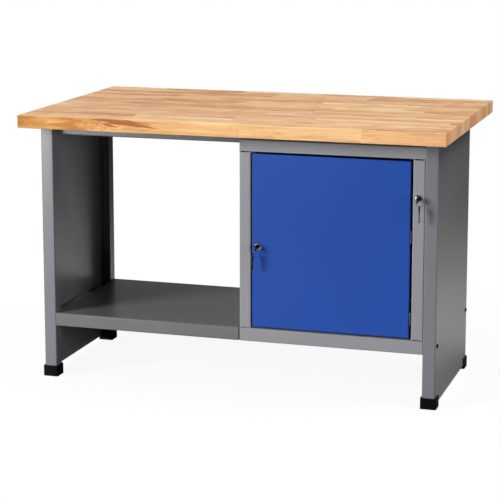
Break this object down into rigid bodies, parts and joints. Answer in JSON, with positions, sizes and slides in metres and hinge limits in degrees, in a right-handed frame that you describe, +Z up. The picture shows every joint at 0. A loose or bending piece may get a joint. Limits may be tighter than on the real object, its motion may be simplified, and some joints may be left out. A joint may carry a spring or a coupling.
{
  "type": "workbench with cabinet door",
  "caption": "Workbench with a thick laminated wooden top on folded sheet-steel legs, an open bay with a lower shelf and a lockable cabinet with an inset hinged door.",
  "frame": {"origin": "on the floor under the middle of the worktop", "axes": "+X to the right along the worktop, +Y from the front to the rear, +Z up"},
  "size_m": [1.34, 0.8, 0.85],
  "materials": {
    "worktop": "laminated beech staves, oiled",
    "leg_paint": "smooth grey powder coat",
    "shelf_paint": "smooth grey powder coat",
    "cabinet_paint": "smooth grey powder coat",
    "door_paint": "smooth blue powder coat",
    "foot": "black moulded plastic",
    "steel": "bright zinc-plated steel",
    "lock": "polished nickel plate",
    "bolt": "dark oxide finish"
  },
  "bodies": {
    "bench": {"worktop": "worktop", "left_leg": "leg_paint", "right_leg": "leg_paint", "front_rail": "leg_paint", "rear_rail": "leg_paint", "lower_shelf": "shelf_paint", "shelf_end_left": "shelf_paint", "shelf_end_right": "shelf_paint", "cabinet_floor": "cabinet_paint", "floor_end_left": "cabinet_paint", "floor_end_right": "cabinet_paint", "cabinet_top": "cabinet_paint", "cabinet_left_wall": "cabinet_paint", "cabinet_right_wall": "cabinet_paint", "cabinet_back": "cabinet_paint", "inner_shelf": "cabinet_paint", "foot_front_left": "foot", "foot_front_right": "foot", "foot_rear_left": "foot", "foot_rear_right": "foot", "shelf_clip_front_left": "steel", "shelf_clip_front_right": "steel", "shelf_clip_rear_left": "steel", "shelf_clip_rear_right": "steel", "upper_hinge_frame_leaf": "steel", "upper_hinge_pin": "steel", "lower_hinge_frame_leaf": "steel", "lower_hinge_pin": "steel", "frame_lock_nut": "steel", "frame_lock_housing": "lock", "front_left_bolt": "bolt", "front_left_nut": "bolt", "front_right_bolt": "bolt", "front_right_nut": "bolt", "rear_left_bolt": "bolt", "rear_left_nut": "bolt", "rear_right_bolt": "bolt", "rear_right_nut": "bolt"},
    "door": {"door": "door_paint", "door_stiffener": "door_paint", "upper_hinge_door_leaf": "steel", "lower_hinge_door_leaf": "steel", "door_lock_housing": "lock", "door_lock_nut": "steel"},
    "door_lock_core": {"door_lock_plug": "lock", "door_lock_cam": "steel", "door_lock_cam_screw": "steel", "door_key": "steel"},
    "door_spare_key": {"door_key_ring": "steel", "door_spare_key": "steel"},
    "frame_lock_core": {"frame_lock_plug": "lock", "frame_lock_cam": "steel", "frame_lock_cam_screw": "steel", "frame_key": "steel"},
    "frame_spare_key": {"frame_key_ring": "steel", "frame_spare_key": "steel"}
  },
  "joints": [
    {"name": "door_hinge", "type": "hinge", "parent": "bench", "child": "door", "pos_m": [0.5525, -0.309, 0.48], "axis": [0, 0, 1], "range_deg": [0, 95]},
    {"name": "door_lock_turn", "type": "hinge", "parent": "door", "child": "door_lock_core", "pos_m": [0.078, -0.31, 0.4645], "axis": [0, 1, 0], "range_deg": [0, 90]},
    {"name": "door_spare_key_swing", "type": "hinge", "parent": "door", "child": "door_spare_key", "pos_m": [0.078, -0.3372, 0.4645], "axis": [1, 0, 0], "range_deg": [-30, 12]},
    {"name": "frame_lock_turn", "type": "hinge", "parent": "bench", "child": "frame_lock_core", "pos_m": [0.574, -0.31, 0.6385], "axis": [0, -1, 0], "range_deg": [0, 90]},
    {"name": "frame_spare_key_swing", "type": "hinge", "parent": "bench", "child": "frame_spare_key", "pos_m": [0.574, -0.3372, 0.6385], "axis": [1, 0, 0], "range_deg": [-30, 12]}
  ]
}
